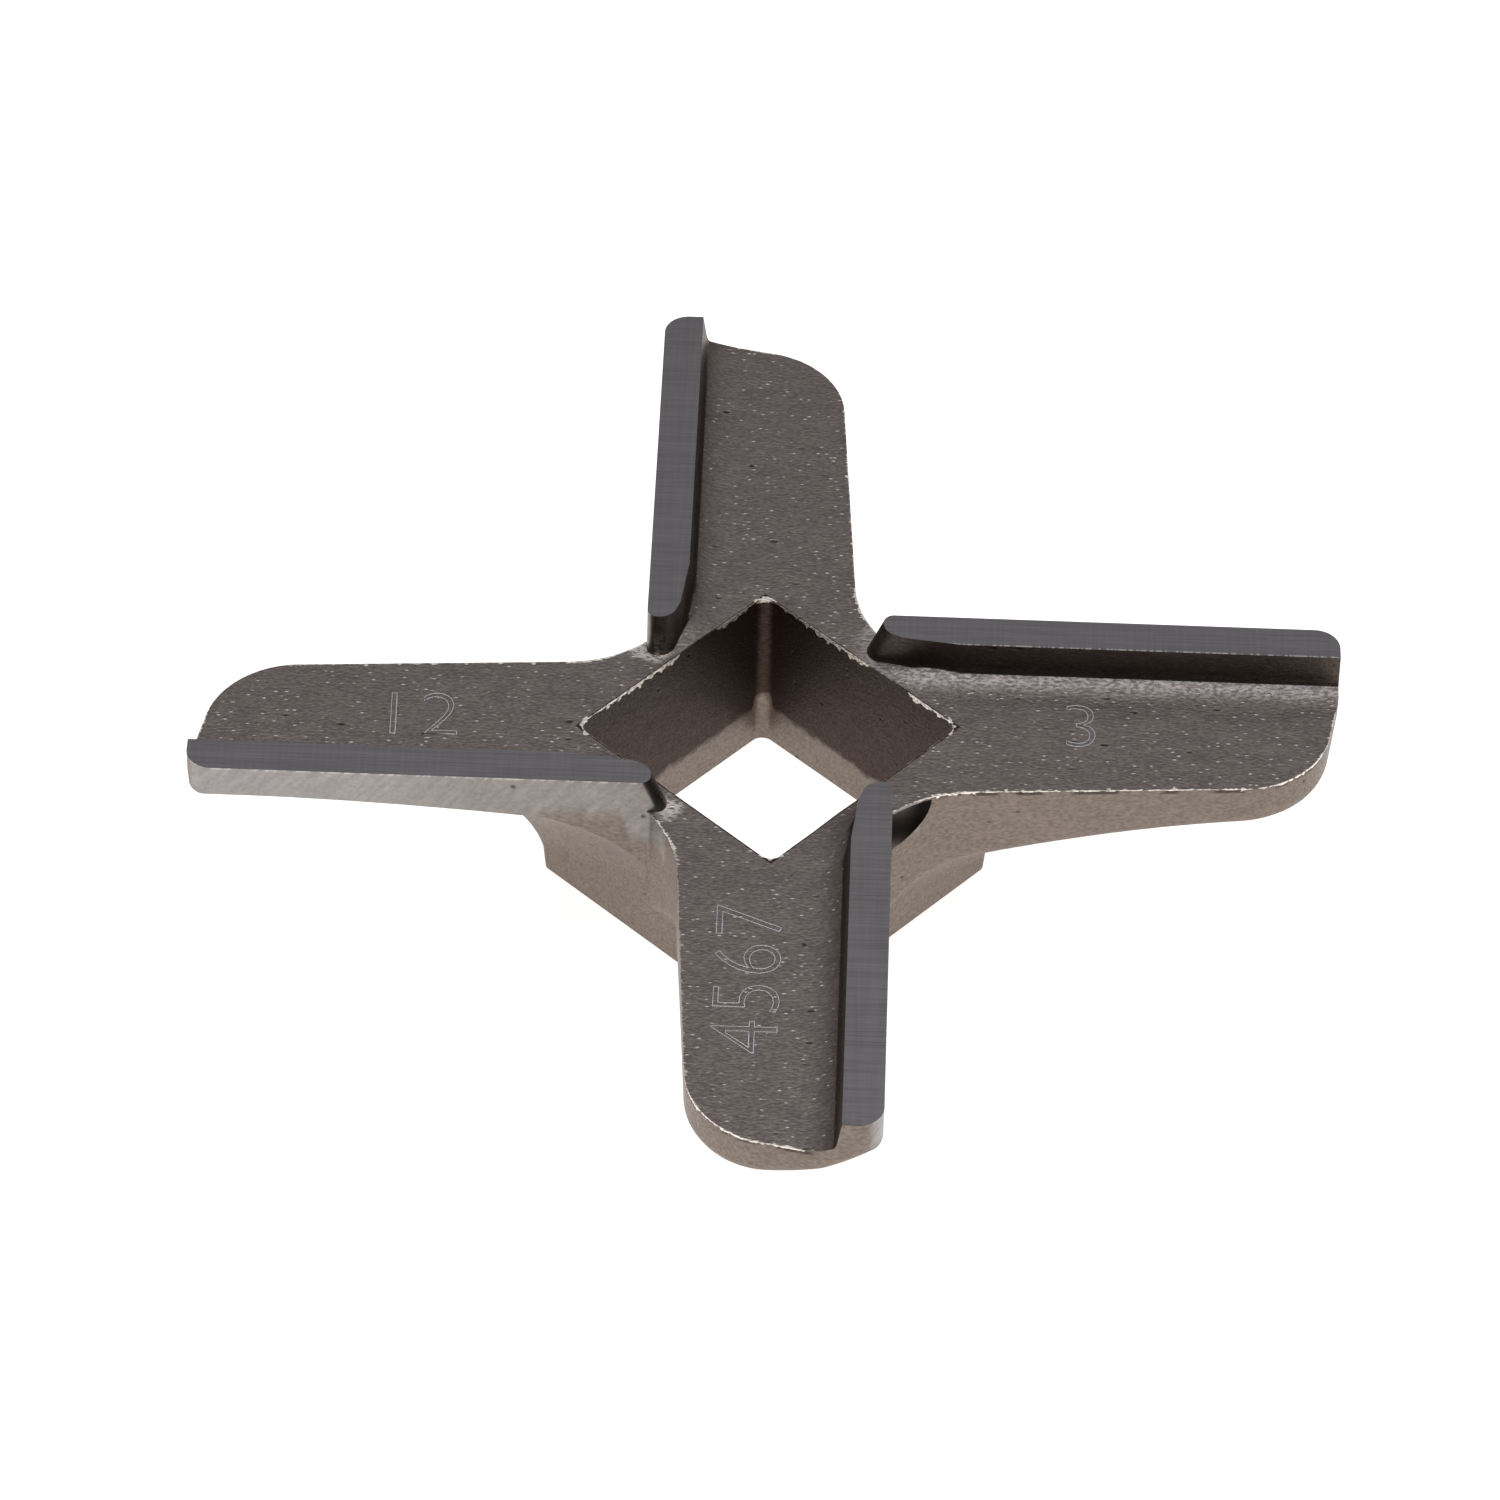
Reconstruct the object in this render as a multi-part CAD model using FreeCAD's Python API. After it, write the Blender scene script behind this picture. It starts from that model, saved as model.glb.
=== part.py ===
import FreeCAD, Part
import math
import os

# Four armed knife of a meat grinder, cast in one piece and then ground.
# Sizes are in millimetres. The origin is on the bore axis at the bottom face of the hub.
# The first arm points along +X, its cutting side is towards +Y, and +Z is the side of the ridges.

# Whole knife
arm_count = 4
hub_height = 9.35
ridge_height = 1.85

# Plan of one arm, as distances from the bore axis and from the centre line of the arm
leading_edge = 5.95
end_reach = 26.40
end_slant_deg = 10.8
ridge_overhang = 0.58
leading_corner_radius = 1.2
end_bend_radius = 2.0
trailing_edge = 3.15
trailing_edge_margin = 4.90
trailing_taper_deg = 3.7
trailing_corner_radius = 4.5
root_sweep_radius = 5.9
root_flank_deg = 35.0
root_notch = 5.45
root_corner_radius = 0.6

# Underside of one arm, as depths below the cast top face at three stations along the arm
root_station = 5.0
knee_margin = 6.4
tip_margin = 2.6
leading_depth_root = 1.30
leading_depth_knee = -0.05
leading_depth_tip = -0.30
middle_depth_root = 4.35
middle_depth_knee = 2.25
middle_depth_tip = 2.85
trailing_depth_root = 6.35
trailing_depth_knee = 2.95
trailing_depth_tip = 2.30
underside_round = 0.8

# Ground ridge along the cutting side
ridge_width = 1.87
ridge_draft_width = 0.28
ridge_foot_radius = 0.7
ridge_inner_reach = 5.30
ridge_bend_reach = 8.8
ridge_bend_rise = 0.42
nose_length = 1.15
nose_run = 9.0
nose_radius = 0.85
nose_corner_radius = 0.5
nose_draft = 0.75

# Hub and square bore, both turned a little against the arms
square_turn_deg = 2.6
bore_side = 12.72
bore_corner_radius = 0.62
hub_half_width_bottom = 7.55
hub_half_width_top = 8.1
hub_corner_radius = 0.4

# Sweep of the hub up into the underside of an arm
sweep_radius = 5.8
sweep_start = 0.1
sweep_rise_behind = 0.3
sweep_end_deg = 78.0
sweep_section_count = 5
sweep_lap = 0.05
sweep_inset = 0.05

# Pocket where the grinding wheel ran out under the lip beside the cutting face of the last arm
pocket_radius = 2.6
pocket_reach = 6.5
pocket_offset = 0.4
pocket_lip = 0.15

# Values that follow from the sizes above
top_face = hub_height
full_height = hub_height + ridge_height
ridge_end_reach = end_reach + ridge_overhang
trailing_edge_station = end_reach - trailing_edge_margin
knee_station = end_reach - knee_margin
tip_station = end_reach + tip_margin
arm_step_deg = 360.0 / arm_count
end_slant = math.tan(math.radians(end_slant_deg))
trailing_taper = math.tan(math.radians(trailing_taper_deg))
flank_angle = math.radians(root_flank_deg)
hub_draft = (hub_half_width_top - hub_half_width_bottom) / hub_height
underside_tilt = (trailing_depth_root - leading_depth_root) / (leading_edge + trailing_edge)
overlap = 1.0
axis_point = FreeCAD.Vector(0, 0, 0)
axis_direction = FreeCAD.Vector(0, 0, 1)


def line_crossing(point_a, direction_a, point_b, direction_b):
    determinant = direction_b[0] * direction_a[1] - direction_a[0] * direction_b[1]
    step_x = point_b[0] - point_a[0]
    step_y = point_b[1] - point_a[1]
    along = (direction_b[0] * step_y - direction_b[1] * step_x) / determinant
    return point_a[0] + along * direction_a[0], point_a[1] + along * direction_a[1]


def rounded_wire(corners, height):
    """Closed outline at one height through corners given as (x, y, radius)."""
    points = [FreeCAD.Vector(x, y, height) for x, y, radius in corners]
    radii = [radius for x, y, radius in corners]
    count = len(points)
    starts = []
    middles = []
    ends = []
    for index in range(count):
        corner = points[index]
        before = (points[index - 1] - corner).normalize()
        after = (points[(index + 1) % count] - corner).normalize()
        half_angle = before.getAngle(after) / 2.0
        setback = radii[index] / math.tan(half_angle)
        centre_distance = radii[index] / math.sin(half_angle)
        bisector = (before + after).normalize()
        starts.append(corner + before * setback)
        middles.append(corner + bisector * (centre_distance - radii[index]))
        ends.append(corner + after * setback)
    edges = []
    for index in range(count):
        if radii[index] > 0.0:
            edges.append(Part.Arc(starts[index], middles[index], ends[index]).toShape())
        edges.append(Part.makeLine(ends[index], starts[(index + 1) % count]))
    return Part.Wire(edges)


def prism(corners, bottom, top):
    face = Part.Face(rounded_wire(corners, bottom))
    return face.extrude(FreeCAD.Vector(0, 0, top - bottom))


def turned(shape, angle_deg):
    copy = shape.copy()
    copy.rotate(axis_point, axis_direction, angle_deg)
    return copy


def turned_corners(corners, angle_deg):
    cosine = math.cos(math.radians(angle_deg))
    sine = math.sin(math.radians(angle_deg))
    return [(x * cosine - y * sine, x * sine + y * cosine, radius) for x, y, radius in corners]


def square_corners(half_width, radius):
    corners = [
        (half_width, -half_width, radius),
        (half_width, half_width, radius),
        (-half_width, half_width, radius),
        (-half_width, -half_width, radius),
    ]
    return turned_corners(corners, 45.0 + square_turn_deg)


# Plan outline of the whole star, arm after arm
trailing_point = (trailing_edge_station, -trailing_edge)
trailing_direction = (1.0, trailing_taper)
root_corner = (leading_edge, -root_notch)
flank_direction = (math.cos(flank_angle), math.sin(flank_angle))
sweep_corner = line_crossing(root_corner, flank_direction, trailing_point, trailing_direction)
tip_corner = line_crossing(trailing_point, trailing_direction, (end_reach, 0.0), (end_slant, 1.0))
end_bend = (ridge_end_reach - end_reach) / end_slant


def star_corners(corner_radius):
    """Outline of the whole star, with one radius at the cutting corner of every arm."""
    arm_corners = [
        (root_corner[0], root_corner[1], root_corner_radius),
        (sweep_corner[0], sweep_corner[1], root_sweep_radius),
        (tip_corner[0], tip_corner[1], trailing_corner_radius),
        (ridge_end_reach, end_bend, end_bend_radius),
        (ridge_end_reach, leading_edge, corner_radius),
    ]
    corners = []
    for index in range(arm_count):
        corners += turned_corners(arm_corners, index * arm_step_deg)
    return corners


plate = prism(star_corners(0.0), 0.0, top_face)

# Ridge with a drafted back and a hollow foot, bent towards the cutting side near the bore
ridge_back = leading_edge - ridge_width
foot_back = ridge_back - ridge_draft_width
foot_limit = foot_back - 2.0 * ridge_foot_radius
ridge_section = rounded_wire([
    (leading_edge, top_face - overlap, 0.0),
    (leading_edge, full_height, 0.0),
    (ridge_back, full_height, 0.0),
    (foot_back, top_face, ridge_foot_radius),
    (foot_limit, top_face, 0.0),
    (foot_limit, top_face - overlap, 0.0),
], 0.0)
foot_reach = ridge_inner_reach - nose_draft * (ridge_height + overlap) / ridge_height
bend_run = ridge_bend_reach - foot_reach + overlap
bend_slope = ridge_bend_rise / (ridge_bend_reach - ridge_inner_reach)
outer_point = FreeCAD.Vector(tip_station, 0, 0)
bend_point = FreeCAD.Vector(ridge_bend_reach, 0, 0)
inner_point = FreeCAD.Vector(ridge_bend_reach - bend_run, bend_run * bend_slope, 0)
ridge_section.rotate(axis_point, FreeCAD.Vector(1, 1, 1), 120)
ridge_section.translate(outer_point)
ridge_path = Part.makePolygon([outer_point, bend_point, inner_point])
ridge_bar = ridge_path.makePipeShell([ridge_section], True, True, 1)


def nose_outline(inner_reach, height):
    return rounded_wire([
        (inner_reach, leading_edge, nose_corner_radius),
        (inner_reach, leading_edge - nose_length, nose_radius),
        (inner_reach + nose_run, foot_limit - overlap, 0.0),
        (tip_station + overlap, foot_limit - overlap, 0.0),
        (tip_station + overlap, leading_edge, 0.0),
    ], height)


# Blunt nose at the inner end of the ridge, which leans out towards its foot
nose_foot = nose_outline(foot_reach, top_face - overlap)
nose_top = nose_outline(ridge_inner_reach, full_height)
nose_block = Part.makeLoft([nose_foot, nose_top], True, True)
ridge_outline = prism(star_corners(0.0), top_face - overlap, full_height)
ridge = ridge_bar.common(nose_block).common(ridge_outline)
blank = plate.fuse(ridge).removeSplitter()


def underside_height(y, leading_depth, middle_depth, trailing_depth):
    """Height of the smooth curve through the three depths of one station."""
    across = leading_edge + trailing_edge
    leading_share = y * (y + trailing_edge) / (leading_edge * across)
    middle_share = (leading_edge - y) * (y + trailing_edge) / (leading_edge * trailing_edge)
    trailing_share = -y * (leading_edge - y) / (trailing_edge * across)
    depth = leading_share * leading_depth + middle_share * middle_depth + trailing_share * trailing_depth
    return top_face - depth


# Space below one arm, which leaves it thick behind and thin at the cutting edge
def underside_section(station, depths):
    leading_y = leading_edge + overlap
    trailing_y = -root_notch - overlap
    middle_y = (leading_y + trailing_y) / 2.0
    leading_high = FreeCAD.Vector(station, leading_y, underside_height(leading_y, *depths))
    middle_high = FreeCAD.Vector(station, middle_y, underside_height(middle_y, *depths))
    trailing_high = FreeCAD.Vector(station, trailing_y, underside_height(trailing_y, *depths))
    trailing_low = FreeCAD.Vector(station, trailing_y, -overlap)
    leading_low = FreeCAD.Vector(station, leading_y, -overlap)
    return Part.Wire([
        Part.Arc(leading_high, middle_high, trailing_high).toShape(),
        Part.makeLine(trailing_high, trailing_low),
        Part.makeLine(trailing_low, leading_low),
        Part.makeLine(leading_low, leading_high),
    ])


underside = Part.makeLoft([
    underside_section(root_station - overlap, (leading_depth_root, middle_depth_root, trailing_depth_root)),
    underside_section(knee_station, (leading_depth_knee, middle_depth_knee, trailing_depth_knee)),
    underside_section(tip_station + overlap, (leading_depth_tip, middle_depth_tip, trailing_depth_tip)),
], True, False)
arm_length = tip_station - root_station
arm_width = leading_edge + root_notch
arm_box = Part.makeBox(arm_length, arm_width, full_height, FreeCAD.Vector(root_station, -root_notch, 0))
arm = blank.common(arm_box.cut(underside)).Solids[0]


def is_underside(face):
    return face.Surface.TypeId == "Part::GeomBSplineSurface"


def is_upright(face):
    normal = face.normalAt(*face.Surface.parameter(face.CenterOfMass))
    return abs(normal.z) < 0.01


def is_cast_rim(edge):
    """Lower edge of the end and the back of an arm, which casting leaves round."""
    faces = arm.ancestorsOfType(edge, Part.Face)
    beside_underside = any(is_underside(face) for face in faces)
    beside_wall = any(is_upright(face) for face in faces)
    outside_hub = all(vertex.X > ridge_bend_reach for vertex in edge.Vertexes)
    ground = all(abs(vertex.Y - leading_edge) < 0.01 for vertex in edge.Vertexes)
    return beside_underside and beside_wall and outside_hub and not ground


arm = arm.makeFillet(underside_round, [edge for edge in arm.Edges if is_cast_rim(edge)])
arm = arm.common(prism(star_corners(leading_corner_radius), 0.0, full_height))


# Hub below the arms, drafted on its four sides
def hub_wedge(angle_deg):
    corners = [
        FreeCAD.Vector(-hub_half_width_bottom, -hub_half_width_top, 0),
        FreeCAD.Vector(hub_half_width_bottom, -hub_half_width_top, 0),
        FreeCAD.Vector(hub_half_width_top, -hub_half_width_top, top_face),
        FreeCAD.Vector(-hub_half_width_top, -hub_half_width_top, top_face),
    ]
    face = Part.Face(Part.makePolygon(corners + corners[:1]))
    return turned(face.extrude(FreeCAD.Vector(0, 2.0 * hub_half_width_top, 0)), angle_deg)


def is_hub_corner(edge):
    heights = [vertex.Z for vertex in edge.Vertexes]
    return max(heights) - min(heights) > hub_height / 2.0


hub = hub_wedge(45.0 + square_turn_deg).common(hub_wedge(135.0 + square_turn_deg))
hub = hub.makeFillet(hub_corner_radius, [edge for edge in hub.Edges if is_hub_corner(edge)])
hub = hub.common(plate.fuse(prism(square_corners(hub_half_width_top, 0.0), 0.0, top_face)))


def sweep_section(angle_deg, tilt):
    """Outline of the hub grown by the sweep, rising across the arm by the tilt."""
    angle = math.radians(angle_deg)
    growth = sweep_radius * (1.0 - math.cos(angle)) - sweep_inset
    height = sweep_start + sweep_radius * math.sin(angle)
    half_width = hub_half_width_bottom + hub_draft * height + growth
    wire = rounded_wire(square_corners(half_width, hub_corner_radius + growth), height)
    shear = FreeCAD.Matrix()
    shear.A32 = tilt
    return wire.transformGeometry(shear)


def half_sweep(tilt, low_y, high_y):
    step_deg = sweep_end_deg / (sweep_section_count - 1)
    sections = [sweep_section(index * step_deg, tilt) for index in range(sweep_section_count)]
    corner = FreeCAD.Vector(root_station, low_y, 0)
    half_box = Part.makeBox(arm_length, high_y - low_y, top_face, corner)
    return Part.makeLoft(sections, True, False).common(half_box).common(plate)


leading_sweep = half_sweep(underside_tilt, -sweep_lap, leading_edge)
trailing_sweep = half_sweep(-sweep_rise_behind, -root_notch, sweep_lap)

# Wheel run-out beside the inner end of one cutting face
pocket_roof = top_face - pocket_lip
pocket_centre = FreeCAD.Vector(pocket_reach, leading_edge + pocket_offset, pocket_roof)
pocket_ball = Part.makeSphere(pocket_radius, pocket_centre)
pocket_corner = FreeCAD.Vector(pocket_reach - 2.0 * pocket_radius, leading_edge, pocket_roof - 2.0 * pocket_radius)
pocket_span = 4.0 * pocket_radius
pocket_box = Part.makeBox(pocket_span, pocket_span, 2.0 * pocket_radius, pocket_corner)
pocket = pocket_ball.common(pocket_box)

# The whole knife, with its four arms set around the bore
nose = ridge.common(Part.makeBox(root_station + overlap, leading_edge, full_height))
pieces = [hub]
bore = prism(square_corners(bore_side / 2.0, bore_corner_radius), -overlap, full_height + overlap)
for index in range(arm_count):
    pieces.append(turned(arm, index * arm_step_deg))
    pieces.append(turned(nose, index * arm_step_deg))
    pieces.append(turned(leading_sweep, index * arm_step_deg))
    pieces.append(turned(trailing_sweep, index * arm_step_deg))
knife = pieces[0].fuse(pieces[1:]).removeSplitter()
knife = knife.cut([bore, turned(pocket, -arm_step_deg)])

os.makedirs("parts", exist_ok=True)
knife.exportStep("parts/cross_knife.step")
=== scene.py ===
import bmesh
import bpy
import math
import numpy as np
from mathutils import Vector, Matrix


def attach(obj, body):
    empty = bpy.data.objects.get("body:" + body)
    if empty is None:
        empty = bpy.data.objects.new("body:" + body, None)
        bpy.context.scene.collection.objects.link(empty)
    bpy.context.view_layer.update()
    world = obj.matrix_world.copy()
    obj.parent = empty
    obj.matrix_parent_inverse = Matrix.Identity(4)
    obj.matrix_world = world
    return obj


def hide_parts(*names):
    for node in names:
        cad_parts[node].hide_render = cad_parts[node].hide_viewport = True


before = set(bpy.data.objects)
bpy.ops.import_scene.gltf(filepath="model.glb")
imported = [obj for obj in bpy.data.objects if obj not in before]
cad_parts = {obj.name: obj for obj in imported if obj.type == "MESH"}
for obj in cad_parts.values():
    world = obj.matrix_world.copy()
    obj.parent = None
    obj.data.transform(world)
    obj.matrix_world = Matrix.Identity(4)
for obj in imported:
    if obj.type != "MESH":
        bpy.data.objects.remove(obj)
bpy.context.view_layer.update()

# Knife casting
# The whole knife is one steel casting: a square hub, four arms and a raised ridge along each cutting side.
# The sand mould leaves a granular skin, ragged rims and a soft hollow that leads up to each ridge. The tops
# and the cutting sides of the ridges are then ground.
mm = 0.001
arm_count = 4
ridge_top = 11.2 * mm
top_face = 9.35 * mm
cutting_side = 5.95 * mm
arm_start = 4.0 * mm
run_out_centre = np.array((6.35, -6.5, 9.2)) * mm
run_out_radius = 2.6 * mm
bore_turn = math.radians(47.6)
knocked_places = [
    ((-4.6 * mm, -5.6 * mm, top_face), 0.75 * mm),
    ((-5.75 * mm, 5.05 * mm, top_face), 0.95 * mm),
]
small_pits = [
    ((2.09 * mm, -14.2 * mm, top_face), 0.11 * mm),
    ((-11.7 * mm, -5.95 * mm, 10.66 * mm), 0.12 * mm),
    ((-5.64 * mm, -5.95 * mm, 9.01 * mm), 0.12 * mm),
]
weld_distance = 0.002 * mm
facet_length = 0.64 * mm
most_halvings = 9
foot_start = 2.3 * mm
foot_end = 4.6 * mm
foot_radius = 3.8 * mm
foot_fades_from = 4.5 * mm
foot_fades_over = 3.5 * mm
behind_foot = 5.2 * mm
level_slack = 0.01 * mm
smooth_below = math.radians(28)
rim_above = math.radians(30)
first_arm_from = 32.0

casting = bpy.data.objects.new("knife_casting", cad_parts["cross_knife"].data.copy())
bpy.context.collection.objects.link(casting)
bpy.ops.object.select_all(action="DESELECT")
casting.select_set(True)
bpy.context.view_layer.objects.active = casting
casting.data.materials.clear()
bpy.ops.object.mode_set(mode="EDIT")
bpy.ops.mesh.select_mode(type="EDGE")
bpy.ops.mesh.select_all(action="SELECT")
bpy.ops.mesh.remove_doubles(threshold=weld_distance)
bpy.ops.object.mode_set(mode="OBJECT")


def vertex_places(mesh):
    places = np.zeros(len(mesh.vertices) * 3)
    mesh.vertices.foreach_get("co", places)
    return places.reshape(-1, 3)


def edge_ends(mesh):
    ends = np.zeros(len(mesh.edges) * 2, int)
    mesh.edges.foreach_get("vertices", ends)
    return ends.reshape(-1, 2)


def split_long_edges(piece, longest):
    """Halves every edge that is longer than the given length, until none is left."""
    for turn in range(most_halvings):
        mesh = piece.data
        places = vertex_places(mesh)
        ends = edge_ends(mesh)
        lengths = np.linalg.norm(places[ends[:, 0]] - places[ends[:, 1]], axis=1)
        too_long = lengths > longest
        if not too_long.any():
            return
        mesh.vertices.foreach_set("select", np.zeros(len(mesh.vertices), bool))
        mesh.polygons.foreach_set("select", np.zeros(len(mesh.polygons), bool))
        mesh.edges.foreach_set("select", too_long)
        bpy.ops.object.mode_set(mode="EDIT")
        bpy.ops.mesh.subdivide(number_cuts=1)
        bpy.ops.mesh.select_all(action="SELECT")
        bpy.ops.mesh.quads_convert_to_tris(quad_method="SHORTEST_DIAGONAL", ngon_method="BEAUTY")
        bpy.ops.mesh.select_all(action="DESELECT")
        bpy.ops.object.mode_set(mode="OBJECT")


split_long_edges(casting, facet_length)


def arm_places(places, arm):
    """Places or directions as seen from one arm, with X along it and Y towards its cutting side."""
    angle = -arm * 2.0 * math.pi / arm_count
    cosine, sine = math.cos(angle), math.sin(angle)
    turned = places.copy()
    turned[:, 0] = places[:, 0] * cosine - places[:, 1] * sine
    turned[:, 1] = places[:, 0] * sine + places[:, 1] * cosine
    return turned


def hollow_ridge_feet(mesh):
    """Lifts the top face of every arm in a soft hollow curve up to the foot of its ridge."""
    places = vertex_places(mesh)
    for arm in range(arm_count):
        place = arm_places(places, arm)
        reach = np.clip(place[:, 1] - foot_start, 0.0, foot_end - foot_start)
        along = np.clip((place[:, 0] - foot_fades_from) / foot_fades_over, 0.0, 1.0)
        lift = 0.5 * reach ** 2 / foot_radius * along ** 2 * (3.0 - 2.0 * along)
        beside_ridge = (place[:, 1] > 0.0) & (place[:, 1] < behind_foot)
        here = beside_ridge & (place[:, 2] > top_face - 0.5 * level_slack)
        places[here, 2] = np.maximum(places[here, 2], top_face + lift[here])
    mesh.vertices.foreach_set("co", places.ravel())
    mesh.update()


hollow_ridge_feet(casting.data)


def face_values(mesh, name):
    values = np.zeros(len(mesh.polygons) * 3)
    mesh.polygons.foreach_get(name, values)
    return values.reshape(-1, 3)


def corner_places(mesh):
    """For every face corner, its place seen from the arm that the face belongs to.

    The faces of the first arm start first_arm_from degrees before X, on the hub's side.
    """
    centre = face_values(mesh, "center")
    bearing = np.degrees(np.arctan2(centre[:, 1], centre[:, 0]))
    arm_of_face = np.floor((bearing + first_arm_from) * arm_count / 360.0).astype(int) % arm_count
    places = vertex_places(mesh)
    corner_vertex = np.zeros(len(mesh.loops), int)
    mesh.loops.foreach_get("vertex_index", corner_vertex)
    arm_of_corner = np.repeat(arm_of_face, 3)
    found = np.zeros((len(corner_vertex), 3))
    for arm in range(arm_count):
        mine = arm_of_corner == arm
        found[mine] = arm_places(places[corner_vertex[mine]], arm)
    return found


bpy.ops.mesh.customdata_custom_splitnormals_clear()
bpy.ops.object.shade_smooth_by_angle(angle=smooth_below)
centres = face_values(casting.data, "center")
normals = face_values(casting.data, "normal")
on_ridge = (normals[:, 2] > 0.99) & (centres[:, 2] > ridge_top - 2.0 * level_slack)
on_cutting_face = np.zeros(len(centres), bool)
for arm in range(arm_count):
    place = arm_places(centres, arm)
    direction = arm_places(normals, arm)
    near = (direction[:, 1] > 0.3) & (place[:, 1] > cutting_side - 1.3 * mm) & (abs(direction[:, 2]) < 0.5)
    on_cutting_face |= near & (place[:, 0] > arm_start)
in_run_out = abs(np.linalg.norm(centres - run_out_centre, axis=1) - run_out_radius) < 3.0 * level_slack
cast_finish, ridge_finish, cutting_finish, run_out_finish = range(4)
finish_of_face = np.full(len(centres), cast_finish, np.int32)
finish_of_face[in_run_out] = run_out_finish
finish_of_face[on_cutting_face] = cutting_finish
finish_of_face[on_ridge] = ridge_finish

upward = casting.data.attributes.new("upward", "FLOAT", "FACE")
upward.data.foreach_set("value", np.clip(normals[:, 2], 0.0, 1.0))

arm_place = casting.data.attributes.new("arm_place", "FLOAT_VECTOR", "CORNER")
arm_place.data.foreach_set("vector", (corner_places(casting.data) / mm).ravel())


def top_rim_vertices(mesh, least_angle):
    """1 at every vertex on an outward edge of the cast top face, and 0 elsewhere."""
    shell = bmesh.new()
    shell.from_mesh(mesh)
    rim = np.zeros(len(mesh.vertices))
    for edge in shell.edges:
        level = all(abs(vertex.co.z - top_face) < level_slack for vertex in edge.verts)
        if level and len(edge.link_faces) == 2 and edge.calc_face_angle_signed(0.0) > least_angle:
            for vertex in edge.verts:
                rim[vertex.index] = 1.0
    shell.free()
    return rim


rim = casting.data.attributes.new("rim", "FLOAT", "POINT")
rim.data.foreach_set("value", top_rim_vertices(casting.data, rim_above))


# The helpers below build node trees. There, places seen from an arm are in millimetres, all others in metres.
def node(tree, kind, inputs=None, **settings):
    """A new node, set down in rows in the order of making, with its inputs linked or set."""
    made = tree.nodes.new(kind)
    row, column = divmod(len(tree.nodes), 12)
    made.location = (180 * column, -260 * row)
    for name, value in settings.items():
        setattr(made, name, value)
    for name, value in (inputs or {}).items():
        if isinstance(value, bpy.types.NodeSocket):
            tree.links.new(value, made.inputs[name])
        else:
            made.inputs[name].default_value = value
    return made


def value_math(tree, operation, first, second=0.0, third=0.0):
    return node(tree, "ShaderNodeMath", {0: first, 1: second, 2: third}, operation=operation).outputs[0]


def product(tree, first, *others):
    for other in others:
        first = value_math(tree, "MULTIPLY", first, other)
    return first


def scaled(tree, value, factor, added):
    return value_math(tree, "MULTIPLY_ADD", value, factor, added)


def largest(tree, first, *others):
    for other in others:
        first = value_math(tree, "MAXIMUM", first, other)
    return first


def ramp(tree, value, low, high, to_low=0.0, to_high=1.0, kind="SMOOTHSTEP"):
    """Goes from to_low to to_high while the value goes from low to high."""
    return node(tree, "ShaderNodeMapRange", {
        "Value": value, "From Min": low, "From Max": high, "To Min": to_low, "To Max": to_high,
    }, interpolation_type=kind).outputs["Result"]


def mixed_colour(tree, share, first, second):
    """The first colour at share 0 and the second at 1. A colour is a socket or its red, green and blue."""
    made = node(tree, "ShaderNodeMix", data_type="RGBA")
    for index, value in ((0, share), (6, first), (7, second)):
        if isinstance(value, bpy.types.NodeSocket):
            tree.links.new(value, made.inputs[index])
        else:
            made.inputs[index].default_value = (*value, 1.0)
    return made.outputs[2]


def noise(tree, vector, scale, detail, roughness=0.5):
    return node(tree, "ShaderNodeTexNoise", {
        "Vector": vector, "Scale": scale, "Detail": detail, "Roughness": roughness,
    }).outputs["Fac"]


def mapped(tree, vector, **how):
    return node(tree, "ShaderNodeMapping", {"Vector": vector, **how}).outputs[0]


def object_places(tree):
    return node(tree, "ShaderNodeTexCoord").outputs["Object"]


def attribute(tree, name, output):
    return node(tree, "ShaderNodeAttribute", attribute_name=name).outputs[output]


def axes_of(tree, vector):
    return node(tree, "ShaderNodeSeparateXYZ", {0: vector}).outputs[:3]


def scattered_discs(tree, vector, scale, inner, outer, channel, from_share, to_share):
    """Soft round dots, one in each cell of a random pattern, in the cells that one of their colours picks."""
    cells = node(tree, "ShaderNodeTexVoronoi", {"Vector": vector, "Scale": scale})
    chosen = node(tree, "ShaderNodeSeparateColor", {0: cells.outputs["Color"]}).outputs[channel]
    disc = ramp(tree, cells.outputs["Distance"], inner, outer, 1.0, 0.0)
    return product(tree, disc, ramp(tree, chosen, from_share, to_share))


def spot(tree, vector, centre, radius, edge):
    """1 inside a ball around the centre and 0 outside, with a soft edge."""
    apart = node(tree, "ShaderNodeVectorMath", {0: vector, 1: centre}, operation="DISTANCE").outputs["Value"]
    return ramp(tree, apart, radius - edge, radius + edge, 1.0, 0.0)


def new_group(name, inputs, outputs):
    group = bpy.data.node_groups.new(name, "ShaderNodeTree")
    for socket, kind in inputs:
        group.interface.new_socket(socket, in_out="INPUT", socket_type=kind)
    for socket, kind in outputs:
        group.interface.new_socket(socket, in_out="OUTPUT", socket_type=kind)
    return group, group.nodes.new("NodeGroupInput"), group.nodes.new("NodeGroupOutput")


def metal(name, colour, roughness):
    material = bpy.data.materials.new(name)
    material.use_nodes = True
    shader = material.node_tree.nodes["Principled BSDF"]
    shader.inputs["Metallic"].default_value = 1.0
    shader.inputs["Base Color"].default_value = (*colour, 1.0)
    shader.inputs["Roughness"].default_value = roughness
    return material, material.node_tree, shader


def raise_surface(tree, shader, height, distance):
    relief = node(tree, "ShaderNodeBump", {"Height": height, "Distance": distance})
    tree.links.new(relief.outputs["Normal"], shader.inputs["Normal"])


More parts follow.
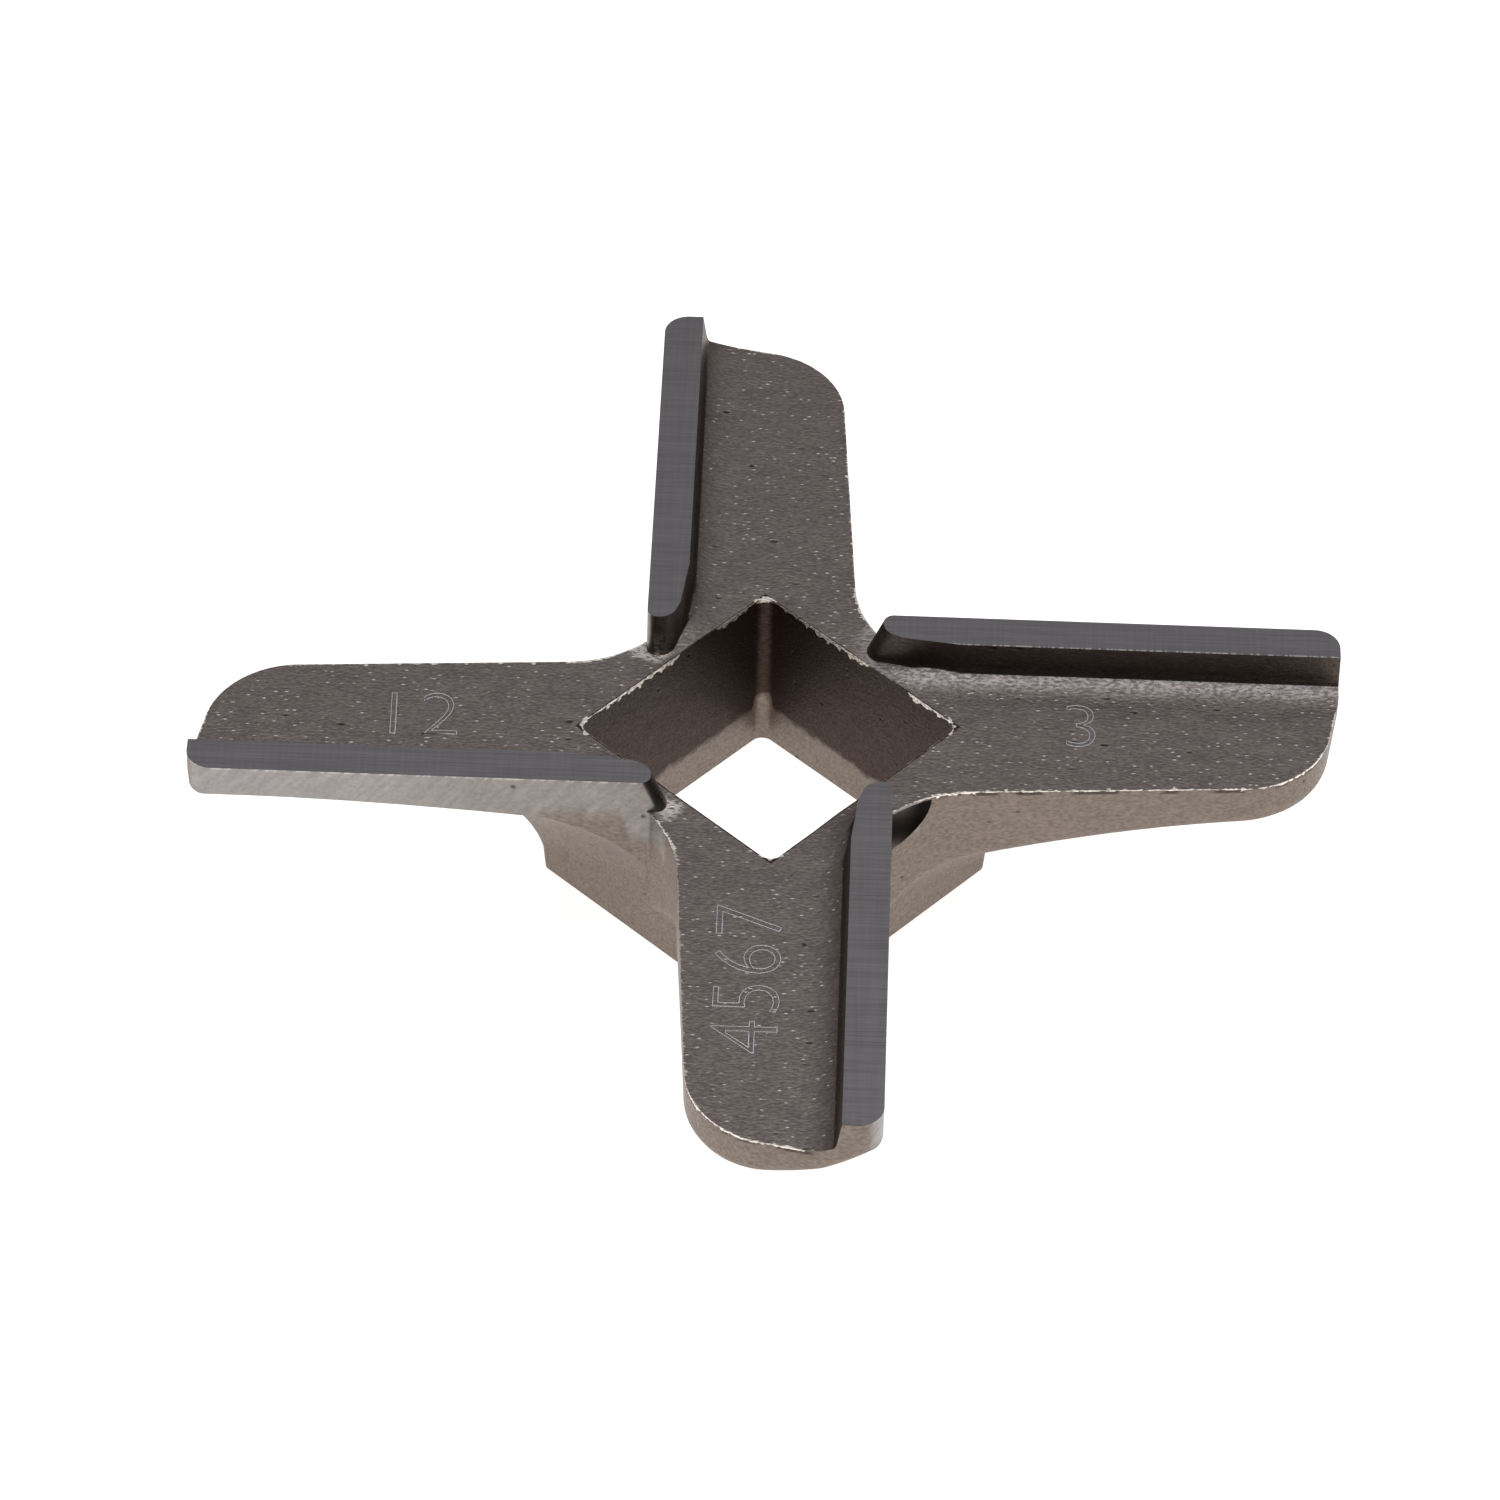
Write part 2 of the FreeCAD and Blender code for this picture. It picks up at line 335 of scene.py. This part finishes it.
# Sandy cast skin: fine grains drawn out along X, bright grains on the upward faces as painted glints, small
# dark pits, a painted highlight along the ragged burr on the rims of the top face, and painted shade in the
# bore from the top down to about two millimetres above the paper
wall_dark, wall_light = (0.193, 0.158, 0.134), (0.243, 0.200, 0.169)
top_dark, top_light = (0.186, 0.153, 0.141), (0.262, 0.215, 0.198)
pit_colour, deep_pit_colour = (0.05, 0.04, 0.035), (0.03, 0.025, 0.02)
# The bright grain, burr and foot colours below are painted highlights, and the dark colours for under the
# burr, the bore and the ridge sides are painted shade
glint_colour, knocked_colour, foot_highlight_colour = (0.85, 0.80, 0.78), (0.86, 0.78, 0.70), (0.47, 0.42, 0.41)
burr_highlight_colour, burr_shadow_colour = (0.92, 0.84, 0.76), (0.04, 0.03, 0.025)
bore_shade_colour, ridge_wall_shade_colour = (0.029, 0.0125, 0.0085), (0.05, 0.033, 0.028)
grain_draw = (0.5, 1.0, 1.0)

skin, entry, leave = new_group("sand_cast_skin", [
    ("Place", "NodeSocketVector"),
    ("Arm Place", "NodeSocketVector"),
    ("Rim", "NodeSocketFloat"),
    ("Upward", "NodeSocketFloat"),
], [
    ("Color", "NodeSocketColor"),
    ("Roughness", "NodeSocketFloat"),
    ("Height", "NodeSocketFloat"),
    ("Deep Pit", "NodeSocketFloat"),
])
place_in = entry.outputs["Place"]
upward_in = entry.outputs["Upward"]
along_x, along_y, along_z = axes_of(skin, place_in)
arm_across = axes_of(skin, entry.outputs["Arm Place"])[1]
drawn_place = mapped(skin, place_in, Scale=grain_draw)
grain = noise(skin, drawn_place, 8000.0, 1.0)
clump = noise(skin, drawn_place, 1500.0, 2.0)
wave = noise(skin, place_in, 300.0, 2.0)
pit = scattered_discs(skin, drawn_place, 1500.0, 0.06, 0.19, 0, 0.58, 0.95)
# Painted glints: bright grains on the upward faces, also raised a little in the bump
glint_grains = product(skin, scattered_discs(skin, drawn_place, 4000.0, 0.08, 0.30, 1, 0.25, 0.95), upward_in)

height = product(skin, grain, 0.016)
for layer, amount in ((clump, 0.014), (wave, 0.07), (pit, -0.03), (glint_grains, 0.016)):
    height = scaled(skin, layer, amount, height)

tone = ramp(skin, scaled(skin, clump, 0.35, product(skin, grain, 0.65)), 0.32, 0.68)
wall_colour = mixed_colour(skin, tone, wall_dark, wall_light)
top_colour = mixed_colour(skin, tone, top_dark, top_light)
# The upward faces take a cooler tone than the walls: a painted tint for the cool light from above, with the
# walls tinted for the warm glow of the paper
colour = mixed_colour(skin, ramp(skin, upward_in, 0.4, 0.9), wall_colour, top_colour)
colour = mixed_colour(skin, product(skin, pit, 0.8), colour, pit_colour)
colour = mixed_colour(skin, product(skin, glint_grains, 0.62), colour, glint_colour)

# Bright patches knocked rough beside the inner ends of two ridges, and a few deeper single pits
knocked_edge, pit_edge = 0.3 * mm, 0.06 * mm
ragged = scaled(skin, clump, 1.3 * mm, -0.65 * mm)
shift = node(skin, "ShaderNodeCombineXYZ", {0: ragged, 1: ragged}).outputs[0]
ragged_place = node(skin, "ShaderNodeVectorMath", {0: place_in, 1: shift}, operation="ADD").outputs[0]
knocked = largest(skin, *[spot(skin, ragged_place, *patch, knocked_edge) for patch in knocked_places])
deep_pit = largest(skin, *[spot(skin, place_in, *hole, pit_edge) for hole in small_pits])
knocked_grains = product(skin, knocked, ramp(skin, grain, 0.30, 0.52), 0.8)
colour = mixed_colour(skin, knocked_grains, colour, knocked_colour)
colour = mixed_colour(skin, product(skin, deep_pit, 0.85), colour, deep_pit_colour)

# Painted shade on the upper part of the bore walls, which are left as lit by the paper below, where the light
# reaches higher in the corners
bore_side = 6.40 * mm
corner_from, corner_to = 5.55 * mm, 5.85 * mm
light_up_to, corner_adds, light_wander, light_fade = 2.3 * mm, 0.8 * mm, 0.8 * mm, 0.5 * mm
bore_x, bore_y, bore_z = axes_of(skin, mapped(skin, place_in, Rotation=(0.0, 0.0, -bore_turn)))
side_x, side_y = value_math(skin, "ABSOLUTE", bore_x), value_math(skin, "ABSOLUTE", bore_y)
farther = value_math(skin, "MAXIMUM", side_x, side_y)
in_bore = ramp(skin, farther, bore_side, bore_side + 0.06 * mm, 1.0, 0.0)
in_corner = ramp(skin, value_math(skin, "MINIMUM", side_x, side_y), corner_from, corner_to)
lit_to = scaled(skin, in_corner, corner_adds, light_up_to)
above_light = value_math(skin, "SUBTRACT", scaled(skin, clump, light_wander, bore_z), lit_to)
bore_shade = product(skin, in_bore, ramp(skin, above_light, 0.0, light_fade), scaled(skin, in_corner, 0.01, 0.86))
colour = mixed_colour(skin, bore_shade, colour, bore_shade_colour)

# Painted highlight along the ragged burr on the rims, widest around the back of the bore and quiet at the
# left of the front arm, with a broken painted shadow line under it
rims_back = ramp(skin, along_y, 0.0, 2.5 * mm, 0.0, 0.34)
beside_bore = ramp(skin, farther, 6.6 * mm, 7.4 * mm, 1.0, 0.0)
off_corner = ramp(skin, value_math(skin, "ABSOLUTE", along_x), 0.9 * mm, 1.6 * mm)
rim_noise = value_math(skin, "ADD", scaled(skin, clump, 0.9, -0.45), scaled(skin, grain, 0.6, -0.30))
rim_reach = value_math(skin, "ADD", entry.outputs["Rim"], rim_noise)
rim_reach = value_math(skin, "ADD", rim_reach, product(skin, rims_back, beside_bore, off_corner))
before_bore = ramp(skin, along_y, -9.0 * mm, -8.0 * mm, 0.65, 0.0)
left_of_arm = ramp(skin, along_x, -3.3 * mm, -2.7 * mm, 1.0, 0.0)
not_quiet = value_math(skin, "SUBTRACT", 1.0, product(skin, before_bore, left_of_arm))
burr_highlight = product(skin, ramp(skin, rim_reach, 0.70, 0.85), ramp(skin, grain, 0.30, 0.55, 0.45, 1.0), not_quiet)
# Painted shadow: a broken dark line on the walls just under the rim
burr_shadow = product(
    skin,
    ramp(skin, along_z, 9.02 * mm, 9.18 * mm),
    ramp(skin, along_z, 9.32 * mm, 9.38 * mm, 1.0, 0.0),
    ramp(skin, upward_in, 0.3, 0.5, 1.0, 0.0),
    ramp(skin, arm_across, 2.6, 3.2, 1.0, 0.0),
    ramp(skin, clump, 0.44, 0.56, 0.0, 0.75),
)
colour = mixed_colour(skin, burr_shadow, colour, burr_shadow_colour)
colour = mixed_colour(skin, burr_highlight, colour, burr_highlight_colour)

# Painted highlight: grains lightened along the foot of the ridge on the first arm
foot_highlight = product(
    skin,
    ramp(skin, arm_across, 2.7, 3.9),
    ramp(skin, along_x, 3.4 * mm, 5.0 * mm),
    ramp(skin, along_y, 0.5 * mm, 2.0 * mm),
    ramp(skin, upward_in, 0.72, 0.88),
    ramp(skin, grain, 0.34, 0.60, 0.25, 0.85),
)
colour = mixed_colour(skin, foot_highlight, colour, foot_highlight_colour)

# Painted shade on the inner sides of the ridges, darker than the rest of the skin, except on the arm at the
# front
ridge_wall_shade = product(
    skin,
    ramp(skin, along_z, 9.5 * mm, 9.8 * mm),
    ramp(skin, arm_across, 4.15, 4.35, 0.55, 0.0),
    ramp(skin, along_y, -7.0 * mm, -6.0 * mm),
)
colour = mixed_colour(skin, ridge_wall_shade, colour, ridge_wall_shade_colour)
skin.links.new(colour, leave.inputs["Color"])
skin.links.new(ramp(skin, grain, 0.3, 0.7, 0.56, 0.44, kind="LINEAR"), leave.inputs["Roughness"])
skin.links.new(height, leave.inputs["Height"])
skin.links.new(deep_pit, leave.inputs["Deep Pit"])


def cast_surface(tree):
    """The cast skin at every point of the casting, fed by its own attributes."""
    return node(tree, "ShaderNodeGroup", {
        "Place": object_places(tree),
        "Arm Place": attribute(tree, "arm_place", "Vector"),
        "Rim": attribute(tree, "rim", "Fac"),
        "Upward": attribute(tree, "upward", "Fac"),
    }, node_tree=skin)


cast_skin, tree, shader = metal("sand_cast_steel", (0.27, 0.23, 0.2), 0.5)
surface = cast_surface(tree)
tree.links.new(surface.outputs["Color"], shader.inputs["Base Color"])
tree.links.new(surface.outputs["Roughness"], shader.inputs["Roughness"])
raise_surface(tree, shader, surface.outputs["Height"], mm)

# Wheel run-out: smooth hollow beside one cutting face, with a painted dark reflection that turns browner
# towards that face
run_out_reflected_brown, run_out_reflected_dark = (0.20, 0.165, 0.142), (0.034, 0.032, 0.033)
run_out, tree, shader = metal("wheel_run_out_steel", run_out_reflected_dark, 0.4)
away = ramp(tree, axes_of(tree, object_places(tree))[0], 6.2 * mm, 7.4 * mm)
tree.links.new(mixed_colour(tree, away, run_out_reflected_brown, run_out_reflected_dark), shader.inputs["Base Color"])

# Ground ridge tops: fine faint lines along X from one pass over a flat wheel, and fainter ones across them,
# with a painted highlight as a bright broken line along the inner edge on the first arm
ridge_dark, ridge_light = (0.206, 0.190, 0.194), (0.252, 0.232, 0.238)
ridge_edge_highlight_colour = (0.78, 0.72, 0.66)
ground_ridge, tree, shader = metal("ground_ridge_steel", ridge_light, 0.3)
places = object_places(tree)
drawn_out = mapped(tree, places, Scale=(0.02, 1.0, 1.0))
lines = noise(tree, drawn_out, 11000.0, 2.0, 0.6)
bands = noise(tree, drawn_out, 1600.0, 1.0)
cross_lines = noise(tree, mapped(tree, places, Scale=(1.0, 0.03, 1.0)), 6000.0, 1.0)
mottled = scaled(tree, cross_lines, 0.25, product(tree, bands, 0.30))
tone = ramp(tree, scaled(tree, lines, 0.45, mottled), 0.36, 0.64)
# Painted highlight along the inner edge of the ridge top
inner_edge_highlight = product(
    tree,
    ramp(tree, axes_of(tree, attribute(tree, "arm_place", "Vector"))[1], 4.13, 4.19, 1.0, 0.0),
    ramp(tree, axes_of(tree, places)[0], 5.0 * mm, 7.0 * mm),
    ramp(tree, cross_lines, 0.42, 0.56, 0.0, 0.7),
)
ridge_colour = mixed_colour(tree, tone, ridge_dark, ridge_light)
ridge_colour = mixed_colour(tree, inner_edge_highlight, ridge_colour, ridge_edge_highlight_colour)
tree.links.new(ridge_colour, shader.inputs["Base Color"])
tree.links.new(ramp(tree, lines, 0.3, 0.7, 0.27, 0.36), shader.inputs["Roughness"])
raise_surface(tree, shader, lines, 0.0012 * mm)

# Ground cutting faces: faint slanted wheel marks, bare steel above that browns towards the hub, a painted
# highlight as a bright broken line along the cutting edge, and cast skin left where the wheel did not reach
marks_slant, marks_draw = -math.radians(50), 0.18
hub_dark, tip_dark = (0.209, 0.193, 0.178), (0.250, 0.236, 0.228)
hub_light, tip_light = (0.286, 0.266, 0.245), (0.335, 0.319, 0.311)
edge_highlight_colour, nick_colour = (0.70, 0.67, 0.64), (0.05, 0.04, 0.03)
ground_face, tree, shader = metal("ground_cutting_face_steel", tip_light, 0.34)
surface = cast_surface(tree)
arm_position = attribute(tree, "arm_place", "Vector")
arm_along, arm_across, arm_up = axes_of(tree, arm_position)
slanted = axes_of(tree, mapped(tree, arm_position, Rotation=(0.0, marks_slant, 0.0)))
drawn_slant = product(tree, slanted[0], marks_draw)
marks_place = node(tree, "ShaderNodeCombineXYZ", {0: drawn_slant, 2: slanted[2]}).outputs[0]
marks = noise(tree, marks_place, 2.6, 4.0, 0.7)
grit = noise(tree, arm_position, 5.0, 2.0, 0.6)
wander = noise(tree, arm_position, 1.3, 3.0)

# The wheel reached down to here, lower on the outer part of the arm and in one patch at its root
reached_out = ramp(tree, arm_along, 10.0, 13.0, 9.1, 6.0)
reached_root = ramp(tree, arm_along, 6.1, 6.9, 7.6, 9.2)
reached_down_to = value_math(tree, "MINIMUM", reached_out, reached_root)
wandering_up = value_math(tree, "ADD", arm_up, scaled(tree, wander, 1.1, -0.55))
above = ramp(tree, value_math(tree, "SUBTRACT", wandering_up, reached_down_to), -0.8, 0.6)
bare = product(tree, above, ramp(tree, scaled(tree, wander, 0.5, arm_across), 5.35, 6.1))

speckle = scaled(tree, grit, 0.35, product(tree, marks, 0.65))
towards_tip = ramp(tree, arm_along, 12.0, 20.0)
dark_steel = mixed_colour(tree, towards_tip, hub_dark, tip_dark)
light_steel = mixed_colour(tree, towards_tip, hub_light, tip_light)
steel = mixed_colour(tree, ramp(tree, speckle, 0.32, 0.68), dark_steel, light_steel)
colour = mixed_colour(tree, bare, surface.outputs["Color"], steel)
# Painted highlight along the cutting edge
edge_highlight = product(tree, ramp(tree, arm_up, 11.05, 11.16), ramp(tree, marks, 0.46, 0.60, 0.0, 0.4))
colour = mixed_colour(tree, edge_highlight, colour, edge_highlight_colour)
colour = mixed_colour(tree, product(tree, surface.outputs["Deep Pit"], 0.75), colour, nick_colour)
tree.links.new(colour, shader.inputs["Base Color"])
tree.links.new(scaled(tree, bare, -0.12, surface.outputs["Roughness"]), shader.inputs["Roughness"])
still_cast = value_math(tree, "SUBTRACT", 1.0, bare)
marks_height = product(tree, speckle, 0.018, bare)
height = value_math(tree, "ADD", marks_height, product(tree, surface.outputs["Height"], still_cast))
raise_surface(tree, shader, height, mm)

materials = {
    cast_finish: cast_skin,
    ridge_finish: ground_ridge,
    cutting_finish: ground_face,
    run_out_finish: run_out,
}
for finish in sorted(materials):
    casting.data.materials.append(materials[finish])
casting.data.polygons.foreach_set("material_index", finish_of_face)

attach(casting, "root")
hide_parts("cross_knife")

# Engraved numbers
# Plain generic digits scribed into three of the arms: each stroke is drawn by its two thin outlines only,
# shown as fine flat ribbons on the top faces. The front arm's read from its tip towards the hub.
arm_digits_size, front_digits_size = 4.2 * mm, 4.6 * mm
scribed_lines = [
    ("12", (-18.7 * mm, -1.45 * mm, top_face), math.radians(1.5), arm_digits_size),
    ("3", (13.75 * mm, -0.7 * mm, top_face), math.radians(1.5), arm_digits_size),
    ("4567", (1.1 * mm, -21.2 * mm, top_face), math.radians(90.0), front_digits_size),
]
line_radius = 0.036 * mm
line_flatness = 0.2
stroke_thinned_by = 0.085 * mm
letter_spacing = 1.05

lines_made = []
for digits, start, turn, size in scribed_lines:
    bpy.ops.object.text_add(location=start, rotation=(0.0, 0.0, turn))
    line = bpy.context.object
    line.scale = (1.0, 1.0, line_flatness)
    line.data.body = digits
    line.data.size = size
    line.data.space_character = letter_spacing
    line.data.fill_mode = "NONE"
    line.data.offset = -stroke_thinned_by
    line.data.bevel_depth = line_radius
    line.data.bevel_resolution = 1
    line.data.resolution_u = 5
    lines_made.append(line)
bpy.ops.object.select_all(action="DESELECT")
for line in lines_made:
    line.select_set(True)
bpy.context.view_layer.objects.active = lines_made[0]
bpy.ops.object.convert(target="MESH")
bpy.ops.object.join()
numbers = bpy.context.object
numbers.name = "engraved_numbers"
bpy.ops.object.transform_apply(location=True, rotation=True, scale=True)
scribed = metal("scribed_steel", (0.66, 0.62, 0.64), 0.5)[0]
numbers.data.materials.clear()
numbers.data.materials.append(scribed)
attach(numbers, "root")

# Floor
# Plain white paper under the bottom face of the hub, a hair lower so that the two faces don't coincide.
# It glows, as paper lit from all round does, so that it comes out white and lights the sides of the knife.
paper_drop = 0.02 * mm
bpy.ops.mesh.primitive_plane_add(size=3.0, location=(0, 0, -paper_drop))
floor = bpy.context.object
floor.name = "paper_floor"
paper = bpy.data.materials.new("white_paper")
paper.use_nodes = True
paper_shader = paper.node_tree.nodes["Principled BSDF"]
paper_shader.inputs["Base Color"].default_value = (0.92, 0.92, 0.92, 1.0)
paper_shader.inputs["Roughness"].default_value = 0.9
paper_shader.inputs["Specular IOR Level"].default_value = 0.1
paper_shader.inputs["Emission Color"].default_value = (1.0, 0.965, 0.94, 1.0)
paper_shader.inputs["Emission Strength"].default_value = 1.0
floor.data.materials.append(paper)

# Studio light
# A soft light above, a wide one behind that the top faces mirror, and a faint warm one on the left.
# The surround is nearly dark, so the top of the knife stays dark against the paper.
world = bpy.data.worlds.new("studio_surround")
bpy.context.scene.world = world
world.use_nodes = True
world.node_tree.nodes["Background"].inputs["Color"].default_value = (0.96, 0.98, 1.0, 1.0)
world.node_tree.nodes["Background"].inputs["Strength"].default_value = 0.03
daylight, warm = (0.93, 0.965, 1.0), (1.0, 0.86, 0.76)


def soft_light(name, place, width, depth, power, colour):
    """A rectangular light that points at the middle of the knife's bottom face."""
    lamp = bpy.data.lights.new(name, "AREA")
    lamp.shape = "RECTANGLE"
    lamp.size = width
    lamp.size_y = depth
    lamp.energy = power
    lamp.color = colour
    light = bpy.data.objects.new(name, lamp)
    bpy.context.collection.objects.link(light)
    light.location = place
    light.rotation_euler = (-Vector(place)).to_track_quat("-Z", "Y").to_euler()


soft_light("upper_light", (0.0, 0.10, 0.90), 0.5, 0.7, 3.3, daylight)
soft_light("rear_light", (0.10, 0.75, 0.70), 1.3, 0.6, 1.08, daylight)
soft_light("left_light", (-0.95, 0.45, 0.35), 0.7, 0.5, 0.12, warm)

# Camera
# Set to the angle, distance and lens that put the knife's edges where the photograph has them.
camera_elevation = math.radians(44.61)
camera_turn = math.radians(0.92)
camera_roll = math.radians(1.37)
camera_distance = 338.3 * mm
aim_right = -0.85 * mm
aim_up = -1.12 * mm
focal_length_in_frame_widths = 4.782

lens = bpy.data.cameras.new("camera")
lens.sensor_width = 36.0
lens.lens = focal_length_in_frame_widths * lens.sensor_width
lens.clip_start = 10.0 * mm
camera = bpy.data.objects.new("camera", lens)
bpy.context.collection.objects.link(camera)
back = Vector((
    math.sin(camera_turn) * math.cos(camera_elevation),
    -math.cos(camera_turn) * math.cos(camera_elevation),
    math.sin(camera_elevation),
))
level = Vector((math.cos(camera_turn), math.sin(camera_turn), 0.0))
upright = back.cross(level)
right = math.cos(camera_roll) * level + math.sin(camera_roll) * upright
up = math.cos(camera_roll) * upright - math.sin(camera_roll) * level
place = camera_distance * back + aim_right * right + aim_up * up + Vector((0, 0, top_face))
camera.matrix_world = Matrix.Translation(place) @ Matrix((right, up, back)).transposed().to_4x4()
bpy.context.scene.camera = camera
bpy.context.scene.view_settings.view_transform = "Standard"
